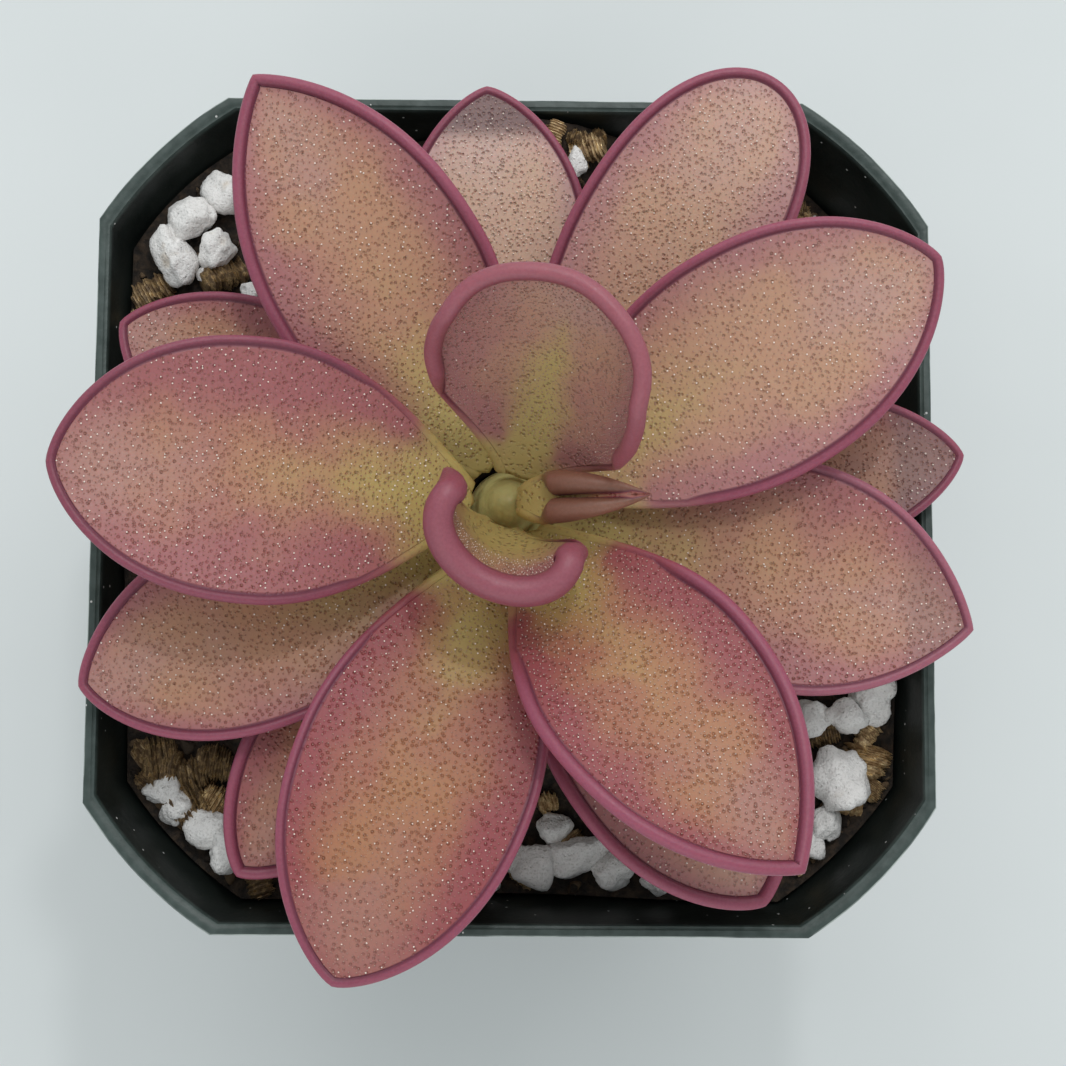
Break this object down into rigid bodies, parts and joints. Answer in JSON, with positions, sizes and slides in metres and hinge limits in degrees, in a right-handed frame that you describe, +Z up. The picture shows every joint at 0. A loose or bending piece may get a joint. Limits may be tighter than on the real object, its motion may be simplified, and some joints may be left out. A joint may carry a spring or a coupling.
{
  "type": "potted butterwort",
  "caption": "Potted butterwort: a rosette of broad leaves with rolled margins on a short crown, in a square nursery pot filled with perlite mix.",
  "frame": {"origin": "middle of the pot's flat base, on the surface that it stands on", "axes": "+Z up along the pot's axis; +Y towards the far side of the pot, where the large upright cupped leaf stands; +X to the right of it"},
  "size_m": [0.0789, 0.0797, 0.097],
  "materials": {
    "pot_plastic": "moulded dark green, satin, with dust specks",
    "growing_mix": "damp peat and fines",
    "perlite": "porous white, matt",
    "vermiculite": "layered brown and gold flakes with a slight sheen",
    "crown_tissue": "pale green and smooth",
    "leaf_flesh": "fleshy, salmon to tan, with magenta margins and a yellow-green base",
    "gland_droplets": "clear sticky droplets on short stalks"
  },
  "bodies": {
    "root": {"pot": "pot_plastic", "growing_mix": "growing_mix", "crown": "crown_tissue", "leaf_01": "leaf_flesh", "leaf_02": "leaf_flesh", "leaf_03": "leaf_flesh", "leaf_04": "leaf_flesh", "leaf_05": "leaf_flesh", "leaf_06": "leaf_flesh", "leaf_07": "leaf_flesh", "leaf_08": "leaf_flesh", "leaf_09": "leaf_flesh", "leaf_10": "leaf_flesh", "leaf_11": "leaf_flesh", "leaf_12": "leaf_flesh", "leaf_13": "leaf_flesh", "leaf_14": "leaf_flesh", "leaf_15": "leaf_flesh", "leaf_16": "leaf_flesh"}
  },
  "joints": []
}
